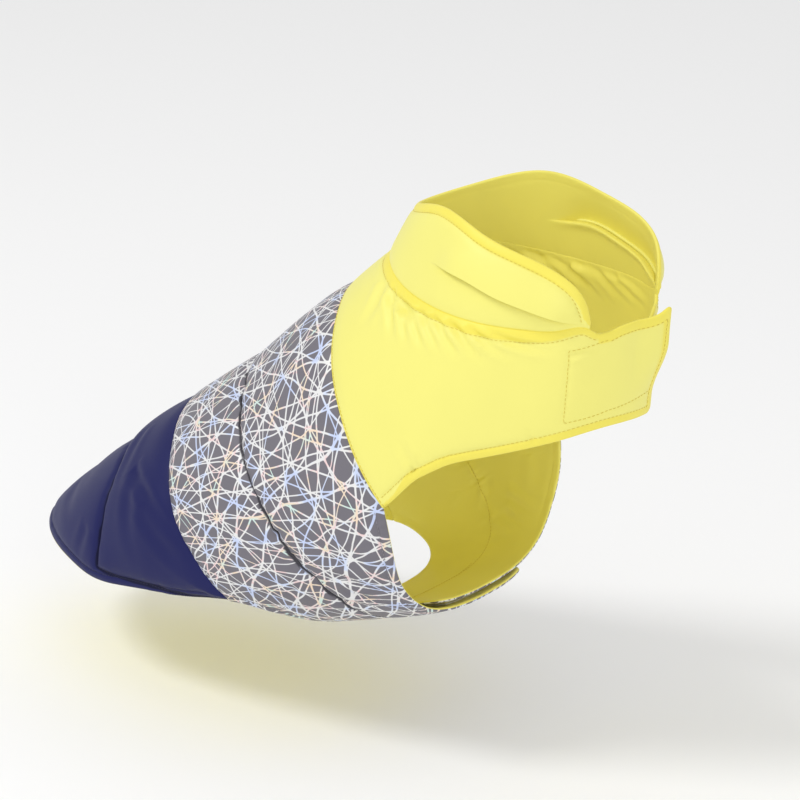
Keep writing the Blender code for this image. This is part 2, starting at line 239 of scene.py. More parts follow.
def figure(stations, angles):
    """Points of the figure that the jacket lies on."""
    rows = spline(range(len(SECTIONS)), SECTIONS, stations)
    back_x, back_z, front_x, front_z, half_width, shift, square = np.moveaxis(rows, -1, 0)
    cos, sin = np.cos(np.radians(angles)), np.sin(np.radians(angles))
    bulge = 1 + square * np.where(cos < 0, (2 * cos * sin) ** 2, 0)
    spineward = (cos + shift * sin ** 2) * bulge
    x = (back_x + front_x) / 2 + (back_x - front_x) / 2 * spineward
    z = (back_z + front_z) / 2 + (back_z - front_z) / 2 * spineward
    return np.stack([x, -half_width * sin * bulge, z], -1)


def unit(vectors):
    return vectors / np.linalg.norm(vectors, axis=-1, keepdims=True)


def run_along(points):
    """Length along a path of points, up to each of them."""
    return np.concatenate([[0], np.cumsum(np.linalg.norm(np.diff(points, axis=0), axis=1))])


def directions(stations, angles):
    """Unit vectors along the figure, towards the tail, and out of it."""
    along = figure(stations + 1e-3, angles) - figure(stations - 1e-3, angles)
    around = figure(stations, angles + 1) - figure(stations, angles - 1)
    return unit(along), unit(np.cross(along, around))


def metres_per_station(stations, angles):
    step = figure(stations + 1e-3, angles) - figure(stations - 1e-3, angles)
    return np.linalg.norm(step, axis=-1) / 2e-3


def metres_per_degree(stations, angles):
    step = figure(stations, angles + 0.5) - figure(stations, angles - 0.5)
    return np.linalg.norm(step, axis=-1)


def columns(right_end, left_end, close=()):
    """Angles of the columns out to the end on each side, closer in each given span of angles."""
    halves = []
    for end in (left_end, right_end):
        marks = [(0, COLUMN_PITCH)]
        for start, stop, fine in close:
            marks += [(start, fine), (stop, COLUMN_PITCH)]
        half = []
        for (start, step), (stop, _) in zip(marks, marks[1:] + [(end, 0)]):
            half += list(np.linspace(start, stop, max(2, round((stop - start) / step)), endpoint=False))
        tip = end - EDGE_ROWS / FLAP_DEGREE
        halves.append(np.array([angle for angle in half if angle < tip[-1] - 0.4] + list(tip[::-1])))
    return np.concatenate([-halves[0][:0:-1], halves[1]])


def rows_through(lines, angles, counts):
    """Stations of the rows of a panel: close together at each line that crosses it, else even."""
    rows = []
    for first, last, count in zip(lines, lines[1:], counts):
        start, stop = metres_per_station(first, angles), metres_per_station(last, angles)
        fit = np.clip(0.35 * (last - first) * (start + stop) / 2 / EDGE_ROWS[-1], 0, 1)
        head = first + EDGE_ROWS[:, None] * fit / start
        tail = last - EDGE_ROWS[:, None] * fit / stop
        share = np.linspace(0, 1, count + 2)[1:-1, None]
        body = head[-1] + share * (tail[-1] - head[-1])
        rows += [head if not rows else head[1:], body, tail[::-1]]
    return np.concatenate(rows)


def nearest(points, path):
    """Distance of each point from a path of points, and how far along the path that is."""
    tree = KDTree(len(path))
    for i, point in enumerate(path):
        tree.insert(point, i)
    tree.balance()
    shape = points.shape[:-1]
    flat = points.reshape(-1, 3)
    hit = np.array([tree.find(point)[1] for point in flat])
    run = run_along(path)
    best = np.full(len(flat), np.inf)
    place = np.zeros(len(flat))
    for offset in (-1, 0):
        i = np.clip(hit + offset, 0, len(path) - 2)
        step = path[i + 1] - path[i]
        length = np.maximum((step ** 2).sum(-1), 1e-16)
        t = np.clip(((flat - path[i]) * step).sum(-1) / length, 0, 1)
        gap = np.linalg.norm(flat - path[i] - t[:, None] * step, axis=-1)
        place = np.where(gap < best, run[i] + t * (run[i + 1] - run[i]), place)
        best = np.minimum(best, gap)
    return best.reshape(shape), place.reshape(shape), run[-1]


def parted(stations, angles):
    """Points of the figure, but with the right flaps well off the left ones, so that a place on one is
    never taken for a place on the other."""
    apart = FLAPS_APART * smooth_step(LIFT_FROM, LIFT_TO, angles)
    return figure(stations, angles) + directions(stations, angles)[1] * apart[..., None]


def path_on_figure(angles, stations):
    """Points along a line on the figure, about half a millimetre apart."""
    points = figure(stations, angles)
    run = run_along(points)
    even = np.linspace(0, run[-1], max(8, int(run[-1] / (0.5 * MM))))
    angles, stations = np.interp(even, run, angles), np.interp(even, run, stations)
    return parted(stations, angles)


def table_path(knots, side, drift):
    """A path through a few angles and stations, on the right side (1) or the left side (-1)."""
    angles, stations = np.array(knots, float).T
    at = np.linspace(0, len(knots) - 1, 60)
    smooth = spline(range(len(knots)), np.stack([angles + drift, stations], -1), at)
    return path_on_figure(side * smooth[:, 0], smooth[:, 1])


def ripple(run, length, seed):
    """Smooth uneven waves of about the given length along a run, between -1 and 1."""
    draws = np.random.default_rng(seed).uniform(-1, 1, 4096)
    at = run / length * 2
    i = np.floor(at).astype(int)
    t = at - i
    t = t * t * (3 - 2 * t)
    return draws[i % 4096] * (1 - t) + draws[(i + 1) % 4096] * t


def swells(points, edge, swell, seed):
    """Broad smooth unevenness of a height and a size, dying out in a margin along the edge."""
    height, size, margin = swell
    rng = np.random.default_rng(seed)
    total = np.zeros(points.shape[:-1])
    for _ in range(9):
        way = rng.normal(size=3)
        way *= 2 * np.pi / size / np.linalg.norm(way) * rng.uniform(0.6, 1.5)
        total += np.sin(points @ way + rng.uniform(0, 2 * np.pi))
    return height * total / 4 * smooth_step(0, margin, edge)


def creases(points, edge, folds, margin, seed):
    """Heights of soft troughs and ridges as listed, alike on both sides but never the same. Each
    is deepest near its first point, dies out towards its last and has low shoulders."""
    rng = np.random.default_rng(seed)
    total = np.zeros(points.shape[:-1])
    for knots, depth, width in folds:
        for side in (1, -1):
            drift, strength = (0, 1) if side > 0 else (rng.uniform(-3, 3), rng.uniform(0.6, 1.2))
            gap, place, length = nearest(points, table_path(knots, side, drift))
            share = np.clip(place / length, 0, 1)
            fade = share ** 0.35 * (1 - share) ** 1.1 / 0.45
            profile = np.exp(-(gap / (width * MM)) ** 2)
            shoulder = 0.45 * np.exp(-((gap / (width * MM) - 1.9) / 0.9) ** 2)
            total -= depth * MM * strength * fade * (profile - shoulder)
    return total * smooth_step(0, margin, edge)


def puckers(points, path, seed, height, reach, pitch=7 * MM):
    """Short gathers across a line of sewing, uneven along it, dying out within a reach."""
    gap, place, _ = nearest(points, path)
    patch = 0.35 + 0.65 * smooth_step(-0.4, 0.6, ripple(place, 45 * MM, seed + 50))
    wave = ripple(place, pitch, seed) + 0.5 * ripple(place, pitch * 0.55, seed + 7)
    return height * patch * wave * np.exp(-gap / reach) * smooth_step(0, 1.2 * MM, gap)


def rounded_edge(edge):
    """Half the thickness of the wall near a turned edge, from nothing at the edge itself."""
    return np.sqrt(np.maximum(EDGE_RADIUS ** 2 - (EDGE_RADIUS - np.minimum(edge, EDGE_RADIUS)) ** 2, 0))


def wrapped(outside, inside):
    """Rows over the outside of a wall, back over its inside, and the first row again."""
    return np.concatenate([outside, inside[-2:0:-1], outside[:1]])


def closed_wall(name, angles, stations, edge, middle, filling, inner, painted_shade_mask, slip=0.0, lining_rows=0):
    """One closed cloth wall, made from a grid that is wrapped over its outside and its inside."""
    turns = np.broadcast_to(angles, stations.shape)
    base = figure(stations, turns)
    along, outward = directions(stations, turns)
    spine = base + along * np.asarray(slip)[..., None] + outward * (EDGE_RADIUS + middle)[..., None]
    half = rounded_edge(edge)
    outside = spine + outward * (half + filling)[..., None]
    inside = spine - outward * (half + inner * filling)[..., None]
    rows, cols = stations.shape
    ring = wrapped(outside, inside)
    bpy.ops.mesh.primitive_grid_add(x_subdivisions=cols - 1, y_subdivisions=len(ring) - 1, size=1)
    piece = bpy.context.object
    piece.name = piece.data.name = name
    mesh = piece.data
    mesh.vertices.foreach_set("co", ring.reshape(-1).astype(np.float32))
    across = metres_per_degree(stations[rows // 2], angles)
    u = np.concatenate([[0], np.cumsum((across[1:] + across[:-1]) / 2 * np.diff(angles))])
    u -= np.interp(0, angles, u)
    v = np.concatenate([np.zeros((1, cols)), np.cumsum(np.linalg.norm(np.diff(base, axis=0), axis=-1), 0)])
    v -= v[rows // 2]
    sheet = np.stack([np.broadcast_to(u, v.shape), v], -1)
    sheet = wrapped(sheet, sheet).reshape(-1, 2)
    corners = np.zeros(len(mesh.loops), int)
    mesh.loops.foreach_get("vertex_index", corners)
    mesh.uv_layers[0].data.foreach_set("uv", sheet[corners].reshape(-1).astype(np.float32))
    slots = np.repeat(np.arange(len(ring) - 1) >= rows - 1 - lining_rows, cols - 1).astype(np.int32)
    mesh.polygons.foreach_set("material_index", slots)
    # A mask of painted shade for the material: doubled bands and quilting lines.
    shade_attribute = mesh.attributes.new("painted_shade_mask", "FLOAT", "POINT")
    shade_attribute.data.foreach_set("value", wrapped(painted_shade_mask, painted_shade_mask).reshape(-1).astype(np.float32))
    mesh.update()
    bpy.ops.object.mode_set(mode="EDIT")
    bpy.ops.mesh.select_all(action="SELECT")
    bpy.ops.mesh.remove_doubles(threshold=1e-6)
    bpy.ops.mesh.dissolve_degenerate(threshold=1e-7)
    bpy.ops.mesh.normals_make_consistent(inside=False)
    bpy.ops.object.mode_set(mode="OBJECT")
    bpy.ops.object.shade_smooth()
    return piece


def boundary(points):
    """The closed loop round a grid of points."""
    loop = np.concatenate([points[0], points[1:-1, -1], points[-1, ::-1], points[-2:0:-1, 0]])
    return np.concatenate([loop, loop[:1]])


def lift(angles):
    return FLAP_LIFT * smooth_step(LIFT_FROM, LIFT_TO, angles)


def lapped(table, angles, side):
    """Stations of a seam, moved by its lap towards the tail (1) or the collar (-1)."""
    seam = line(table, angles)
    return seam + side * SEAM_LAP / metres_per_station(seam, angles)


def within(width, gap, border):
    """1 where a gap is less than a width and 0 where it is more, with a soft border."""
    return smooth_step(width + border[0], width - border[1], gap)


def rounded_corner(edge, angles, radius, side):
    """An edge line that turns inwards at both ends of a panel, by a quarter circle."""
    end = np.where(angles > 0, angles[-1], -angles[0])
    reach = (end - np.abs(angles)) * metres_per_degree(edge, angles)
    inward = np.maximum(radius - reach, 0)
    drop = radius - np.sqrt(np.maximum(radius ** 2 - inward ** 2, 0))
    return edge + side * drop / metres_per_station(edge, angles)


def left_strap(reach):
    return np.where(reach > LEFT_STRAP_EDGE[0][0], line(LEFT_STRAP_EDGE, reach), line(STRAP_EDGE, reach))


def yoke_edges(angles):
    reach = np.abs(angles)
    flap = np.where(angles > 0, line(RIGHT_FLAP_TOP, reach), line(LEFT_FLAP_TOP, reach))
    top = np.where(reach < RIGHT_FLAP_TOP[0][0], lapped(NECK_SEAM, angles, -1), flap)
    strap = np.where(angles < 0, left_strap(reach), line(STRAP_EDGE, reach))
    low = np.where(reach <= ARMHOLE, lapped(YOKE_SEAM, angles, 1), strap)
    top = rounded_corner(top, angles, FLAP_CORNER, 1)
    return top, rounded_corner(low, angles, FLAP_CORNER, -1)


def offset_line(angles, stations, distance):
    """A line moved over the figure by a distance, towards the tail where that is positive."""
    points = figure(stations, angles)
    way = unit(np.gradient(points, axis=0))
    along, outward = directions(stations, angles)
    aside = np.cross(outward, way)
    aside *= np.sign((aside * along).sum(-1, keepdims=True))
    down = (aside * along).sum(-1) * distance
    across = figure(stations, angles + 0.5) - figure(stations, angles - 0.5)
    size = np.linalg.norm(across, axis=-1)
    # the two directions of the figure aren't at right angles, so the step is solved for both
    lean = (across / size[..., None] * along).sum(-1)
    side = (aside * across).sum(-1) / size * distance
    free = 1 - lean ** 2
    return (angles + (side - lean * down) / free / size,
            stations + (down - lean * side) / free / metres_per_station(stations, angles))


neck_reach = np.linspace(-152, 152, 400)
# Millimetres from the neck seam to the topstitching under it, at each angle.
BAND_WIDTH = ((0, 6.0), (60, 6.4), (85, 6.6), (112, 7.6), (134, 5.5), (152, 3.2))
NECK_BAND = offset_line(neck_reach, line(NECK_SEAM, neck_reach), line(BAND_WIDTH, neck_reach) * MM)


def flap_stitching(front, rear, side, start, end):
    """Topstitching round a flap: along one edge, across its end and back along the other edge."""
    tip = end - HEM_STITCH / FLAP_DEGREE
    out = np.linspace(start[0], tip, 160)
    back = np.linspace(tip, start[1], 120)
    along_rear = offset_line(side * out, rear(out), -HEM_STITCH)
    along_front = offset_line(side * back, front(back), HEM_STITCH)
    return np.concatenate([along_rear, along_front], axis=1)


def polyline(corners):
    """Angles and stations along straight runs between corners."""
    angles, stations = np.array(corners, float).T
    at = np.linspace(0, len(corners) - 1, 60 * len(corners))
    knots = np.arange(len(corners))
    return np.interp(at, knots, angles), np.interp(at, knots, stations)


STRAP_STITCH_STARTS = (105.4, 157)
RIGHT_STRAP_STITCH = flap_stitching(
    partial(line, RIGHT_FLAP_TOP), partial(line, STRAP_EDGE), 1, STRAP_STITCH_STARTS,
    RIGHT_FLAP_END - FLAP_END_HEM)
LEFT_STRAP_STITCH = flap_stitching(
    partial(line, LEFT_FLAP_TOP), left_strap, -1, STRAP_STITCH_STARTS, FLAP_END)
CHEST_TAPE_STITCH = polyline(
    ((186.5, 1.55), (176, 1.57), (163, 1.60), (145.5, 1.69), (140, 1.09), (152, 1.03), (157, 1.012)))
seam_reach = np.linspace(-104.5, 104.5, 420)
YOKE_SEAM_STITCH = offset_line(seam_reach, line(YOKE_SEAM, seam_reach), -SEAM_TURN)


def panel_fields(angles, stations, loft, fullness, pulls):
    """Base points, distance from the panel's edge, and the wadding's share of its full height."""
    turns = np.broadcast_to(angles, stations.shape)
    base = parted(stations, turns)
    edge, _, _ = nearest(base, boundary(base))
    filled = 1 - np.exp(-np.maximum(edge - 0.5 * EDGE_RADIUS, 0) / fullness)
    for path, depth, width in pulls:
        gap, _, _ = nearest(base, path)
        filled = filled * (1 - depth * np.exp(-gap / width))
    return base, turns, edge, loft * filled


yoke_angles = columns(RIGHT_FLAP_END, FLAP_END, ARMHOLE_COLUMNS)
yoke_top, yoke_low = yoke_edges(yoke_angles)
yoke_rows = rows_through((yoke_top, yoke_low), yoke_angles, YOKE_ROWS)
yoke_stitch_paths = [path_on_figure(*stitch) for stitch in
                     (NECK_BAND, RIGHT_STRAP_STITCH, LEFT_STRAP_STITCH, CHEST_TAPE_STITCH)]
base, turns, edge, filling = panel_fields(
    yoke_angles, yoke_rows, YOKE_LOFT, YOKE_FULLNESS,
    [(path, STITCH_DEPTH, STITCH_PULL) for path in yoke_stitch_paths])
flat_flap = smooth_step(LIFT_FROM, LIFT_TO, np.abs(turns))
filling = filling * (1 - FLAT_FLAP_LOFT * flat_flap)
calm = 1 - FLAT_FLAP_CALM * flat_flap
sway = creases(base, edge, YOKE_FOLDS, 6 * MM, seed=11) + calm * swells(base, edge, YOKE_SWELL, seed=3)
for number, path in enumerate(yoke_stitch_paths):
    sway += calm * puckers(base, path, 20 + number, height=0.34 * MM, reach=3.5 * MM)
flare = smooth_step(FLARE_FROM, RIGHT_FLAP_END, turns) * smooth_step(*FLARE_STATIONS, yoke_rows)
middle = lift(turns) + sway + FLAP_FLARE * flare
at_seam = (np.abs(turns) < ARMHOLE) & (yoke_rows > (yoke_top + yoke_low) / 2)
at_neck = (np.abs(turns) < neck_reach[-1]) & (yoke_rows < (yoke_top + yoke_low) / 2)
# Bands of doubled cloth at the seam, the neck and the flap ends, where a deeper yellow is painted as shade.
shade_band = np.where(at_seam, SEAM_TURN, np.where(at_neck, line(BAND_WIDTH, turns) * MM, HEM_STITCH))
end_hem = HEM_STITCH / FLAP_DEGREE + FLAP_END_HEM
at_end = within(end_hem, RIGHT_FLAP_END - turns, END_BORDER)
painted_shade_mask = np.maximum(within(shade_band, edge, TURNED_BORDER), at_end)
yoke = closed_wall("yoke_cloth", yoke_angles, yoke_rows, edge, middle, filling, FLAT_INSIDE, painted_shade_mask)

# Satin polyester, close woven and calendered: smooth to the eye, with a soft sheen.
# Where it is turned or doubled, the yellow is painted deeper, as shade: doubled cloth lets less light
# through. The taffeta of the lining is a little duller.
CANARY, CANARY_PAINTED_SHADE, CANARY_LINING = "ECE67C", "EDE05D", "EBE16D"
WAVE_AT_SCALE_ONE = np.pi / 10  # length of one wave of Blender's wave texture


def woven_finish(name, colour, roughness, sheen, thread, depth, shade=0.06, gloss=0.3, shade_band=None):
    """A plain close weave: threads from the piece's own UV in metres, and faint uneven dye."""
    finish, tree, shader = new_material(name)
    shader.inputs["Roughness"].default_value = roughness
    shader.inputs["Sheen Weight"].default_value = sheen
    shader.inputs["Sheen Roughness"].default_value = 0.45
    shader.inputs["Specular IOR Level"].default_value = gloss
    place = add(tree, "TexCoord")
    warp, weft = (
        add(tree, "TexWave", {"Vector": place.outputs["UV"]}, Scale=WAVE_AT_SCALE_ONE / thread,
            bands_direction=way, wave_profile="SIN").outputs["Fac"]
        for way in "XY")
    threads = add(tree, "Math", {0: warp, 1: weft}, operation="MULTIPLY")
    crinkle = add(tree, "TexNoise", {"Vector": place.outputs["Object"]}, Scale=140.0, Detail=3.0)
    height = add(tree, "Math", {0: crinkle.outputs["Fac"], 2: threads.outputs[0]}, operation="MULTIPLY_ADD")
    height.inputs[1].default_value = 1.5
    bump = add(tree, "Bump", {"Height": height.outputs[0]}, Strength=0.25, Distance=depth)
    tree.links.new(bump.outputs["Normal"], shader.inputs["Normal"])
    patches = add(tree, "TexNoise", {"Vector": place.outputs["Object"]}, Scale=22.0, Detail=2.0)
    tone = add(tree, "MapRange", {"Value": patches.outputs["Fac"]}, To_Min=1 - shade, To_Max=1 + shade)
    dye = add(tree, "HueSaturation", {"Value": tone.outputs["Result"]}, Color=linear(colour))
    # Painted shade: a second colour mixed in where the mesh's shade mask is set.
    if shade_band:
        painted_shade_mask = add(tree, "Attribute", attribute_name="painted_shade_mask")
        both = add(tree, "Mix", {"Factor": painted_shade_mask.outputs["Fac"], 6: linear(colour), 7: linear(shade_band)},
                   data_type="RGBA")
        tree.links.new(both.outputs[2], dye.inputs["Color"])
    tree.links.new(dye.outputs["Color"], shader.inputs["Base Color"])
    return finish, tree, shader


yellow_satin = woven_finish("canary_satin_polyester", CANARY, 0.45, 0.05, 0.5 * MM, 0.05 * MM, 0.03,
                            shade_band=CANARY_PAINTED_SHADE)[0]
yellow_lining = woven_finish("canary_taffeta_lining", CANARY_LINING, 0.55, 0.05, 0.6 * MM, 0.05 * MM)[0]
yoke.data.materials.append(yellow_satin)
yoke.data.materials.append(yellow_lining)
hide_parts("yoke")
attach(yoke, "root")


# ------------------------------ Collar
# Padded stand collar of the same satin, bagged out and sewn to the yoke at the neck, open at the
# throat. The lower half is folded in under the upper half by the way that the neck bends, and the
# front ends are rounded and topstitched like the top edge.

COLLAR_END = 147.0
COLLAR_TOP = ((0, 0.04), (30, -0.05), (63, -0.14), (74, -0.06), (91, 0.12), (106, 0.245),
              (126, 0.41), (134, 0.50), (140, 0.60), (144, 0.71), (147, 0.83))
COLLAR_LIP = ((62, 0.50), (72, 0.52), (80, 0.54), (90, 0.585), (101, 0.665), (113, 0.73),
              (126, 0.795), (137, 0.84), (147, 0.86))
LIP_DROP, LIP_ROLL, LIP_HOLLOW = 6.0 * MM, 4.8 * MM, 2.2 * MM
ROLL_ABOVE, ROLL_BELOW = 12 * MM, 1.2 * MM  # how far the roll of the lip reaches
SLIP_ABOVE, SLIP_BELOW = 6 * MM, 1.0 * MM  # how far cloth is drawn down with it
HOLLOW_DEPTH, HOLLOW_WIDTH = 3.2 * MM, 3.4 * MM
FULL_ROOM = 10 * MM  # cloth between lip and seam that a full lip needs
COLLAR_ROWS = (18, 12)
COLLAR_LOFT, COLLAR_FULLNESS = 2.6 * MM, 6 * MM
COLLAR_SWELL = (0.4 * MM, 60 * MM, 10 * MM)

collar_angles = columns(COLLAR_END, COLLAR_END)
collar_top = line(COLLAR_TOP, collar_angles)
collar_low = lapped(NECK_SEAM, collar_angles, 1)
crease_reach = np.clip(np.abs(collar_angles), COLLAR_LIP[0][0], COLLAR_LIP[-1][0])
lip = line(COLLAR_LIP, crease_reach)
lip_scale = metres_per_station(lip, collar_angles)
room = np.maximum(line(NECK_SEAM, crease_reach) - lip, 0) * lip_scale
drop = np.minimum(LIP_DROP, 0.5 * room) * smooth_step(COLLAR_LIP[0][0], COLLAR_LIP[0][0] + 26, crease_reach)
collar_crease = lip - drop / lip_scale  # the lip hangs over the crease behind it by this drop
collar_rows = rows_through((collar_top, collar_crease, collar_low), collar_angles, COLLAR_ROWS)
top_reach = np.linspace(-146.8, 146.8, 500)
COLLAR_STITCH = offset_line(top_reach, line(COLLAR_TOP, top_reach), HEM_STITCH)
collar_stitch_path = path_on_figure(*COLLAR_STITCH)
base, turns, edge, filling = panel_fields(
    collar_angles, collar_rows, COLLAR_LOFT, COLLAR_FULLNESS,
    [(collar_stitch_path, STITCH_DEPTH, STITCH_PULL)])
sway = swells(base, edge, COLLAR_SWELL, seed=5)
sway += puckers(base, collar_stitch_path, 31, height=0.25 * MM, reach=3 * MM)
above = (collar_crease - collar_rows) * lip_scale
deep = smooth_step(0, LIP_DROP, drop) * (0.5 + 0.5 * smooth_step(0, FULL_ROOM, room))
roll = np.exp(-(above / np.where(above > 0, ROLL_ABOVE, ROLL_BELOW)) ** 2)
hollow = np.where(above < 0, np.exp(-((above + HOLLOW_DEPTH) / HOLLOW_WIDTH) ** 2), 0)
sway += deep * (LIP_ROLL * roll - LIP_HOLLOW * hollow)
slip = drop * np.exp(-np.abs(above) / np.where(above > 0, SLIP_ABOVE, SLIP_BELOW))
to_seam = (line(NECK_SEAM, turns) - collar_rows) * metres_per_station(collar_rows, turns)
slip = slip * smooth_step(0, 4 * MM, to_seam)
middle = 0.3 * MM + lift(turns) + sway * smooth_step(0, 4 * MM, edge)
# Bands of doubled cloth at the top edge and the seam, where a deeper yellow is painted as shade.
shade_band = np.where(to_seam < edge + 1 * MM, 0.8 * MM, HEM_STITCH)
painted_shade_mask = within(shade_band, edge, TURNED_BORDER)
collar = closed_wall("collar_cloth", collar_angles, collar_rows, edge, middle, filling, FLAT_INSIDE,
                     painted_shade_mask, slip)
collar.data.materials.append(yellow_satin)
collar.data.materials.append(yellow_lining)
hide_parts("collar")
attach(collar, "root")


# ------------------------------ Middle panel
# Padded middle panel of grey polyester, printed with a reflective web of silver lines, and quilted
# across once through shell, wadding and lining. Its two belly flaps close underneath.

BELLY_FRONT = ((105, 2.97), (112, 3.22), (120, 3.50), (128, 3.75), (139, 3.98), (153, 4.14),
               (168, 4.20), (180, 4.21), (205, 4.21))
MIDDLE_QUILT = ((0, 3.55), (42, 3.57), (53, 3.72), (73, 3.99), (101, 4.34), (119, 4.51),
                (140, 4.65), (160, 4.73), (180, 4.75), (205, 4.75))
REAR_SEAM = ((0, 5.12), (25, 5.03), (43, 5.05), (62, 5.22), (75, 5.36), (94, 5.52),
             (107, 5.61), (123, 5.69))
HEM = ((0, 8.13), (12, 8.09), (24, 7.95), (44, 7.63), (70, 7.10), (85, 6.82), (104, 6.32), (115, 6.01),
       (123, 5.69), (131, 5.50), (139, 5.38), (150, 5.30), (165, 5.27), (205, 5.27))
REAR_TIP = 122.5
MIDDLE_ROWS = (24, 24)
MIDDLE_LOFT, MIDDLE_FULLNESS = 4.2 * MM, 8 * MM
MIDDLE_SWELL = (0.6 * MM, 55 * MM, 12 * MM)
MIDDLE_FLAP_CALM = 0.7
STRETCHED_BACK, STRETCHED_TO = 0.45, 30.0  # share of filling that is flattened over the spine
MIDDLE_PULLS = ((0.35, 7 * MM), (0.75, 3 * MM))  # share of filling that the quilting takes, and reach
QUILT_SINK, QUILT_LEAN, QUILT_GAP = 0.8 * MM, 0.15 * MM, 1.1 * MM
QUILT_BORDER = (0.3 * MM, 0.2 * MM)
MIDDLE_FOLDS = (
    (((59, 3.34), (65, 3.47), (70, 3.66)), 0.7, 4),
    (((23, 3.57), (26, 3.69), (29, 3.79)), 0.9, 2.6),
    (((33, 3.36), (33, 3.50), (35, 3.64)), 0.8, 2.6),
    (((96, 4.30), (98, 4.16), (97, 4.00)), 0.7, 3.5),
    (((84, 4.12), (80, 4.28), (78, 4.46)), 0.7, 4),
    (((90, 5.58), (97, 5.58), (103, 5.50)), 1.0, 3),
    (((99, 5.70), (106, 5.64), (112, 5.56)), 0.9, 3),
    (((76, 5.34), (86, 5.30), (95, 5.20)), 0.8, 4),
    (((118, 4.16), (124, 4.07), (130, 3.95)), 1.2, 3),
    (((119, 4.78), (122, 4.86), (126, 5.00)), 1.0, 3),
    (((114, 4.40), (121, 4.54), (128, 4.74)), 1.1, 3),
    (((124, 4.30), (130, 4.21), (136, 4.08)), 1.2, 3),
    (((128, 4.60), (134, 4.42), (138, 4.22)), 1.0, 3.5),
    (((108, 3.60), (116, 3.80), (122, 4.00)), 0.8, 4.5),
)


def middle_edges(angles):
    reach = np.abs(angles)
    belly_front = line(BELLY_FRONT, np.maximum(reach, ARMHOLE))
    front = np.where(reach <= ARMHOLE, lapped(YOKE_SEAM, angles, -1), belly_front)
    rear = np.where(reach <= REAR_TIP, lapped(REAR_SEAM, angles, 1), line(HEM, angles))
    front = rounded_corner(front, angles, FLAP_CORNER, 1)
    return front, rounded_corner(rear, angles, FLAP_CORNER, -1)


def quilted(points, path, before, seed):
    """How far a line of quilting sinks, and how far the full cloth on each side leans over it."""
    gap, place, _ = nearest(points, path)
    sink = QUILT_SINK * np.exp(-(gap / (3.0 * MM)) ** 2)
    lean = QUILT_LEAN * (0.65 + 0.35 * ripple(place, 26 * MM, seed)) * smooth_step(0, 0.4 * MM, gap)
    lean = lean * np.exp(-((gap - 1.5 * MM) / (1.2 * MM)) ** 2)
    return sink, np.where(before, lean, -lean)


def quilt_shade_band(points, path, width, uneven, seed):
    """The band of painted shade along a line of quilting: uneven in width."""
    gap, place, _ = nearest(points, path)
    return within(QUILT_GAP * (width + uneven * ripple(place, 16 * MM, seed)), gap, QUILT_BORDER)


BELLY_STITCHES = [
    flap_stitching(partial(line, BELLY_FRONT), partial(line, HEM), side, (124, 106), FLAP_END)
    for side in (1, -1)]
BELLY_TAPE_STITCH = polyline(((160, 4.36), (199, 4.36), (199, 5.14), (160, 5.14), (160, 4.36)))
middle_angles = columns(FLAP_END, FLAP_END, ARMHOLE_COLUMNS)
front, rear = middle_edges(middle_angles)
middle_rows = rows_through((front, line(MIDDLE_QUILT, middle_angles), rear), middle_angles, MIDDLE_ROWS)
quilt_reach = np.linspace(-FLAP_END, FLAP_END, 900)
quilt_path = path_on_figure(quilt_reach, line(MIDDLE_QUILT, quilt_reach))
belly_paths = [path_on_figure(*stitch) for stitch in (*BELLY_STITCHES, BELLY_TAPE_STITCH)]
base, turns, edge, filling = panel_fields(
    middle_angles, middle_rows, MIDDLE_LOFT, MIDDLE_FULLNESS,
    [(quilt_path, *pull) for pull in MIDDLE_PULLS]
    + [(path, STITCH_DEPTH, STITCH_PULL) for path in belly_paths])
flat_flap = smooth_step(LIFT_FROM, LIFT_TO, np.abs(turns))
stretched = STRETCHED_BACK * np.exp(-(turns / STRETCHED_TO) ** 2)
filling = filling * (1 - FLAT_FLAP_LOFT * flat_flap) * (1 - stretched)
calm = 1 - MIDDLE_FLAP_CALM * flat_flap
sink, slip = quilted(base, quilt_path, middle_rows < line(MIDDLE_QUILT, turns), 45)
sway = creases(base, edge, MIDDLE_FOLDS, 5 * MM, seed=17) + calm * (
    swells(base, edge, MIDDLE_SWELL, seed=8)
    + puckers(base, quilt_path, 41, height=1.3 * MM, reach=5 * MM, pitch=8 * MM)
    + puckers(base, boundary(base), 43, height=0.6 * MM, reach=6 * MM, pitch=8 * MM))
middle = lift(turns) + sway - sink * calm
# The band along the quilting where a dark grey is painted as shade.
painted_shade_mask = quilt_shade_band(base, quilt_path, 1.0, 1.0, 47)
shell = closed_wall("middle_panel_cloth", middle_angles, middle_rows, edge, middle, filling, SOFT_INSIDE,
                    painted_shade_mask, slip * calm)

# Silver reflective ink in a random web on plain grey cloth: bent lines about a millimetre wide,
# drawn together in knots, almost white in the light, with a faint pearly change of tint. Along the
# quilting a dark broken line of painted shade stands in for the shadow deep in its groove.
WEB_GREY, QUILT_SHADE_GREY = "716E76", "3C3A41"
WEB_TINTS = ((0.26, "C3CFEE"), (0.36, "D2DBEE"), (0.41, "E2E2E2"), (0.57, "E2E2E2"), (0.62, "EBCBCB"),
             (0.66, "E3E0DD"), (0.71, "EDD5BC"), (0.79, "CDE2DC"))
TINT_PATCH = 15 * MM
KNOT_SPACING, KNOT_PULL = 17 * MM, 3.8 * MM
LINE_FAMILIES, LINE_SPACING, LINE_WIDTHS = 8, 18 * MM, (0.8 * MM, 1.35 * MM)
INK_FILLET = 1.3  # how far ink fills a crossing, in half line widths
BEND_SIZE, BEND = 48 * MM, 15.5 * MM


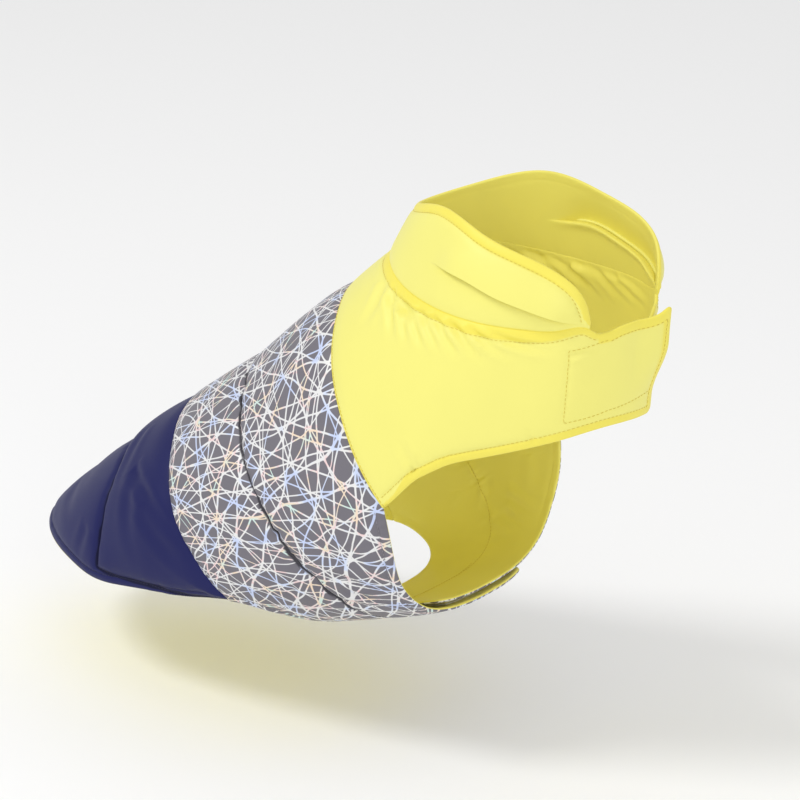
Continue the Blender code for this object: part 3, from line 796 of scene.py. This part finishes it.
def web_of_lines(tree, place):
    """Where the ink lies: families of bent lines at random spacings, all pulled towards knots."""
    knots = add(tree, "TexVoronoi", {"Vector": place}, voronoi_dimensions="2D", Scale=1 / KNOT_SPACING)
    scaled = (KNOT_SPACING, KNOT_SPACING, 0)
    centre = add(tree, "VectorMath", {0: knots.outputs["Position"], 1: scaled}, operation="MULTIPLY")
    away = add(tree, "VectorMath", {0: place, 1: centre.outputs[0]}, operation="SUBTRACT")
    reach = add(tree, "VectorMath", {0: away.outputs[0]}, operation="LENGTH")
    cubed = add(tree, "Math", {0: reach.outputs["Value"], 1: 3.0}, operation="POWER")
    held = add(tree, "Math", {0: cubed.outputs[0], 1: KNOT_PULL ** 3}, operation="ADD")
    pushed = add(tree, "Math", {0: held.outputs[0], 1: 1 / 3}, operation="POWER")
    spread = add(tree, "Math", {0: pushed.outputs[0], 1: reach.outputs["Value"]}, operation="DIVIDE")
    moved = add(tree, "VectorMath", {0: away.outputs[0], "Scale": spread.outputs[0]}, operation="SCALE")
    pulled = add(tree, "VectorMath", {0: moved.outputs[0], 1: centre.outputs[0]}, operation="ADD").outputs[0]
    bends = []
    for shift in ((0, 0, 0), (3.7, 1.9, 0)):
        at = add(tree, "VectorMath", {0: pulled, 1: shift}, operation="ADD").outputs[0]
        noise = add(tree, "TexNoise", {"Vector": at}, noise_dimensions="2D", Scale=1 / BEND_SIZE,
                    Detail=1.0, Roughness=0.4)
        bends += list(add(tree, "SeparateXYZ", {0: noise.outputs["Color"]}).outputs)
    rng = np.random.default_rng(5)
    closest = None
    for family in range(LINE_FAMILIES):
        turn = np.pi * (family + rng.uniform(-0.3, 0.3)) / LINE_FAMILIES
        sway = BEND * (1 if family % 2 else -1) * rng.uniform(0.6, 1.3)
        spacing = LINE_SPACING * rng.uniform(0.8, 1.25)
        way = (np.cos(turn), np.sin(turn), 0)
        across = add(tree, "VectorMath", {0: pulled, 1: way}, operation="DOT_PRODUCT").outputs["Value"]
        bent = add(tree, "Math", {0: bends[family % 6], 1: sway, 2: across}, operation="MULTIPLY_ADD")
        at = add(tree, "Math", {0: bent.outputs[0], 1: 1 / spacing, 2: 20.5 + 7.3 * family},
                 operation="MULTIPLY_ADD")
        number = add(tree, "Math", {0: at.outputs[0]}, operation="FLOOR")
        part = add(tree, "Math", {0: at.outputs[0]}, operation="FRACT")
        dice = add(tree, "TexWhiteNoise", {"W": number.outputs[0]}, noise_dimensions="1D")
        draw = add(tree, "SeparateXYZ", {0: dice.outputs["Color"]})
        seat = add(tree, "MapRange", {"Value": draw.outputs[0]}, To_Min=0.1, To_Max=0.9)
        aside = add(tree, "Math", {0: part.outputs[0], 1: seat.outputs[0]}, operation="SUBTRACT")
        gap = add(tree, "Math", {0: aside.outputs[0]}, operation="ABSOLUTE")
        thin, shade_attribute = (2 * spacing / width for width in LINE_WIDTHS)
        share = add(tree, "MapRange", {"Value": draw.outputs[1]}, To_Min=thin, To_Max=shade_attribute)
        size = add(tree, "Math", {0: gap.outputs[0], 1: share.outputs[0]}, operation="MULTIPLY").outputs[0]
        if closest is not None:
            size = add(tree, "Math", {0: closest, 1: size, 2: INK_FILLET}, operation="SMOOTH_MIN").outputs[0]
        closest = size
    true_gap = add(tree, "Math", {0: closest, 1: spread.outputs[0]}, operation="DIVIDE")
    ink = add(tree, "MapRange", {"Value": true_gap.outputs[0]}, From_Min=0.8, From_Max=1.2,
              To_Min=1.0, To_Max=0.0)
    return ink.outputs[0]


web, tree, shader = woven_finish(
    "grey_polyester_with_reflective_web_print", WEB_GREY, 0.5, 0.03, 0.6 * MM, 0.05 * MM)
cloth = shader.inputs["Base Color"].links[0].from_socket
place = add(tree, "TexCoord")
ink = web_of_lines(tree, place.outputs["UV"])
patches = add(tree, "TexNoise", {"Vector": place.outputs["UV"]}, noise_dimensions="2D",
              Scale=1 / TINT_PATCH, Detail=0.5)
pearl = add(tree, "ValToRGB", {0: patches.outputs[0]})
stops = pearl.color_ramp.elements
while len(stops) < len(WEB_TINTS):
    stops.new(0.5)
for stop, (position, shade) in zip(stops, WEB_TINTS):
    stop.position, stop.color = position, linear(shade)
# Painted shade: a dark grey mixed in along the quilting, for the shadow in its groove.
quilt_shade = add(tree, "Attribute", attribute_name="painted_shade_mask").outputs["Fac"]
printed = add(tree, "Mix", {"Factor": ink, 6: cloth, 7: pearl.outputs["Color"]}, data_type="RGBA")
seen = add(tree, "Mix", {"Factor": quilt_shade, 6: printed.outputs[2], 7: linear(QUILT_SHADE_GREY)}, data_type="RGBA")
tree.links.new(seen.outputs[2], shader.inputs["Base Color"])
gloss = add(tree, "MapRange", {"Value": ink}, To_Min=0.5, To_Max=0.3)
tree.links.new(gloss.outputs[0], shader.inputs["Roughness"])
shell.data.materials.append(web)
shell.data.materials.append(yellow_lining)
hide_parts("middle_panel")
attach(shell, "root")


# ------------------------------ Rear panel
# Padded rear panel of navy satin over the rump, quilted across once, with a rounded tail. Its hem
# is turned and topstitched, and the yellow lining shows as a thin line under it.

REAR_QUILT = ((0, 6.12), (14, 6.08), (41, 6.05), (53, 6.22), (67, 6.45), (84, 6.79), (123, 7.80))
QUILT_REACH = 0.86  # share of the way from seam to hem where the quilting ends at the sides
REAR_ROWS = (22, 20)
REAR_LOFT, REAR_FULLNESS = 4.8 * MM, 10 * MM
REAR_SWELL = (0.7 * MM, 60 * MM, 12 * MM)
REAR_PULLS = ((0.35, 8 * MM), (0.85, 1.8 * MM))
LINING_ROWS = 4  # rows at the hem's turn where the lining rolls out
REAR_FOLDS = (
    (((48, 5.66), (66, 5.54), (78, 5.53), (88, 5.46)), 1.8, 4.0),
    (((67, 5.66), (86, 5.70), (102, 5.72)), 1.0, 4.5),
    (((23, 5.63), (35, 5.74), (44, 5.84), (53, 6.00)), 0.9, 4.5),
    (((50, 5.62), (62, 5.81), (75, 5.98), (92, 6.14)), 0.8, 5.0),
    (((20, 7.20), (34, 7.10), (50, 6.90)), 0.8, 5.0),
    (((60, 6.60), (66, 6.80), (70, 6.98)), 0.7, 4.0),
    (((0, 6.60), (8, 6.85), (14, 7.10)), 0.8, 6.0),
)

rear_angles = columns(REAR_TIP, REAR_TIP)
seam = lapped(REAR_SEAM, rear_angles, -1)
hem = line(HEM, rear_angles)
quilt = np.minimum(line(REAR_QUILT, rear_angles), seam + QUILT_REACH * (hem - seam))
rear_rows = rows_through((seam, quilt, hem), rear_angles, REAR_ROWS)
quilt_path = path_on_figure(rear_angles, quilt)
hem_reach = np.linspace(-119, 119, 600)
REAR_STITCH = offset_line(hem_reach, line(HEM, hem_reach), -HEM_STITCH)
hem_path = path_on_figure(*REAR_STITCH)
base, turns, edge, filling = panel_fields(
    rear_angles, rear_rows, REAR_LOFT, REAR_FULLNESS,
    [(quilt_path, *pull) for pull in REAR_PULLS] + [(hem_path, STITCH_DEPTH, STITCH_PULL)])
sink, slip = quilted(base, quilt_path, rear_rows < quilt, 55)
sway = (
    creases(base, edge, REAR_FOLDS, 5 * MM, seed=23) - sink
    + swells(base, edge, REAR_SWELL, seed=14)
    + puckers(base, quilt_path, 51, height=0.6 * MM, reach=7 * MM, pitch=10 * MM)
    + puckers(base, hem_path, 53, height=0.3 * MM, reach=3 * MM))
# The band along the quilting where a darker navy is painted as shade.
painted_shade_mask = quilt_shade_band(base, quilt_path, 1.4, 0.5, 57)
rump = closed_wall("rear_panel_cloth", rear_angles, rear_rows, edge, sway, filling, SOFT_INSIDE,
                   painted_shade_mask, slip, LINING_ROWS)

# The same satin in navy. A darker navy is painted along the quilting, as shade deep in its groove in the
# padding.
NAVY, NAVY_QUILT_SHADE = "212456", "101235"
navy_satin = woven_finish("navy_satin_polyester", NAVY, 0.48, 0.0, 0.5 * MM, 0.05 * MM, gloss=0.14,
                          shade_band=NAVY_QUILT_SHADE)[0]
rump.data.materials.append(navy_satin)
rump.data.materials.append(yellow_lining)
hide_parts("rear_panel")
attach(rump, "root")


# ------------------------------ Hook and loop tapes
# Nylon touch tapes, sewn flat to the flaps: loop tape on the outside of the left ones and hook tape
# on the inside of the right ones. The closed flaps hide them all but their cut edges. Both finishes
# are dull, with the speckle of fine hooks or loops.

for kind, shade in (("hook", "D9D3B0"), ("loop", "F0E57A")):
    finish, tree, shader = new_material(f"nylon_{kind}_tape")
    shader.inputs["Roughness"].default_value = 0.9
    shader.inputs["Sheen Weight"].default_value = 0.3
    place = add(tree, "TexCoord")
    pile = add(tree, "TexVoronoi", {"Vector": place.outputs["Object"]}, Scale=1 / (0.9 * MM))
    tone = add(tree, "MapRange", {"Value": pile.outputs["Distance"]}, To_Min=1.1, To_Max=0.75)
    dye = add(tree, "HueSaturation", {"Value": tone.outputs["Result"]}, Color=linear(shade))
    bump = add(tree, "Bump", {"Height": pile.outputs["Distance"]}, Strength=0.6, Distance=0.3 * MM)
    tree.links.new(dye.outputs["Color"], shader.inputs["Base Color"])
    tree.links.new(bump.outputs["Normal"], shader.inputs["Normal"])
    for where in ("chest", "belly"):
        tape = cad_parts[f"{where}_{kind}_tape"]
        tape.data.materials.clear()
        tape.data.materials.append(finish)


# ------------------------------ Topstitching
# Lockstitch in polyester thread, 2.6 mm a stitch, along every turned edge, along the quilting and
# round the tapes. Each stitch is a short plump stroke that sinks into the cloth at both ends.

STITCH_PITCH, STITCH_LENGTH, THREAD = 2.6 * MM, 2.1 * MM, 0.42 * MM
CLEAR = 30 * MM  # a height clear of all the cloth
UNDER_FLAP = 4.9 * MM  # a height between the two flaps
PROUD = 0.12 * MM  # how far the middle of a stitch lies off the cloth
THREADS = {"canary": "D6C24C", "silver": "8E8B90", "grey": "45434A", "navy": "1C1E44"}
thread_finishes = {}
for name, shade in THREADS.items():
    finish, tree, shader = new_material(f"{name}_polyester_thread")
    shader.inputs["Base Color"].default_value = linear(shade)
    shader.inputs["Roughness"].default_value = 0.5
    place = add(tree, "TexCoord")
    ply = add(tree, "TexNoise", {"Vector": place.outputs["Object"]}, Scale=1800.0)
    bump = add(tree, "Bump", {"Height": ply.outputs["Fac"]}, Strength=0.4, Distance=0.1 * MM)
    tree.links.new(bump.outputs["Normal"], shader.inputs["Normal"])
    thread_finishes[name] = finish

bpy.ops.mesh.primitive_uv_sphere_add(segments=6, ring_count=4, radius=1)
pattern_stitch = bpy.context.object
stitch_points = np.array([vertex.co for vertex in pattern_stitch.data.vertices])
stitch_faces = [list(face.vertices) for face in pattern_stitch.data.polygons]
bpy.data.objects.remove(pattern_stitch)
stitch_points = stitch_points[:, (2, 0, 1)] * (STITCH_LENGTH / 2, THREAD / 2, THREAD / 2)


def sew(name, cloth, angles, stations, thread, slot, above=CLEAR):
    """A row of stitches along a line, each laid on the first face of the cloth that is met on the way
    from a height above the figure, or below it, to its surface. The height counts between flaps only."""
    surface = BVHTree.FromObject(cloth, bpy.context.evaluated_depsgraph_get())
    points = figure(stations, angles)
    run = run_along(points)
    at = np.arange(STITCH_PITCH / 2, run[-1], STITCH_PITCH)
    angles, stations = np.interp(at, run, angles), np.interp(at, run, stations)
    points, outward = figure(stations, angles), directions(stations, angles)[1]
    clear = np.where(np.abs(angles) < LIFT_TO, np.sign(above) * CLEAR, above)
    hits = []
    for point, way, height in zip(points, outward, clear):
        place, normal, _, _ = surface.ray_cast(Vector(point + way * height), Vector(-way * np.sign(above)))
        hits.append((*place, *normal) if place else (*point, *way))
    hits = np.array(hits)
    points, outward = hits[:, :3], hits[:, 3:]
    along = np.gradient(points, axis=0)
    along = unit(along - outward * (along * outward).sum(-1, keepdims=True))
    aside = np.cross(outward, along)
    turned = np.stack([along, aside, outward], 1)
    placed = points[:, None] + np.einsum("pk,nkj->npj", stitch_points, turned) + outward[:, None] * PROUD
    count = len(stitch_points)
    faces = [[i * count + corner for corner in face] for i in range(len(points)) for face in stitch_faces]
    mesh = bpy.data.meshes.new(name)
    mesh.from_pydata(placed.reshape(-1, 3).tolist(), [], faces)
    mesh.shade_smooth()
    mesh.materials.append(thread_finishes[thread])
    row = bpy.data.objects.new(name, mesh)
    bpy.context.collection.objects.link(row)
    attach(row, "root")
    return row


yoke_stitches = [
    sew(f"{name}_stitching", yoke, *row, "canary", "yellow_shell", above)
    for name, row, above in (
        ("neck_band", NECK_BAND, CLEAR),
        ("right_strap", RIGHT_STRAP_STITCH, CLEAR),
        ("left_strap", LEFT_STRAP_STITCH, UNDER_FLAP),
        ("chest_tape", CHEST_TAPE_STITCH, CLEAR),
        ("yoke_seam", YOKE_SEAM_STITCH, CLEAR),
    )]
collar_stitches = [sew("collar_stitching", collar, *COLLAR_STITCH, "canary", "yellow_shell")]
middle_quilt = (quilt_reach, line(MIDDLE_QUILT, quilt_reach))
middle_stitches = [
    sew("middle_quilt_stitching", shell, *middle_quilt, "grey", "printed_shell"),
    sew("middle_quilt_stitching_inside", shell, *middle_quilt, "canary", "printed_shell", -CLEAR),
    sew("right_belly_stitching", shell, *BELLY_STITCHES[0], "silver", "printed_shell"),
    sew("left_belly_stitching", shell, *BELLY_STITCHES[1], "silver", "printed_shell", UNDER_FLAP),
    sew("belly_tape_stitching", shell, *BELLY_TAPE_STITCH, "silver", "printed_shell"),
]
rear_quilt = (rear_angles[16:-16], quilt[16:-16])
rear_stitches = [
    sew("rear_hem_stitching", rump, *REAR_STITCH, "navy", "navy_shell"),
    sew("rear_quilt_stitching", rump, *rear_quilt, "navy", "navy_shell"),
    sew("rear_quilt_stitching_inside", rump, *rear_quilt, "canary", "navy_shell", -CLEAR),
]
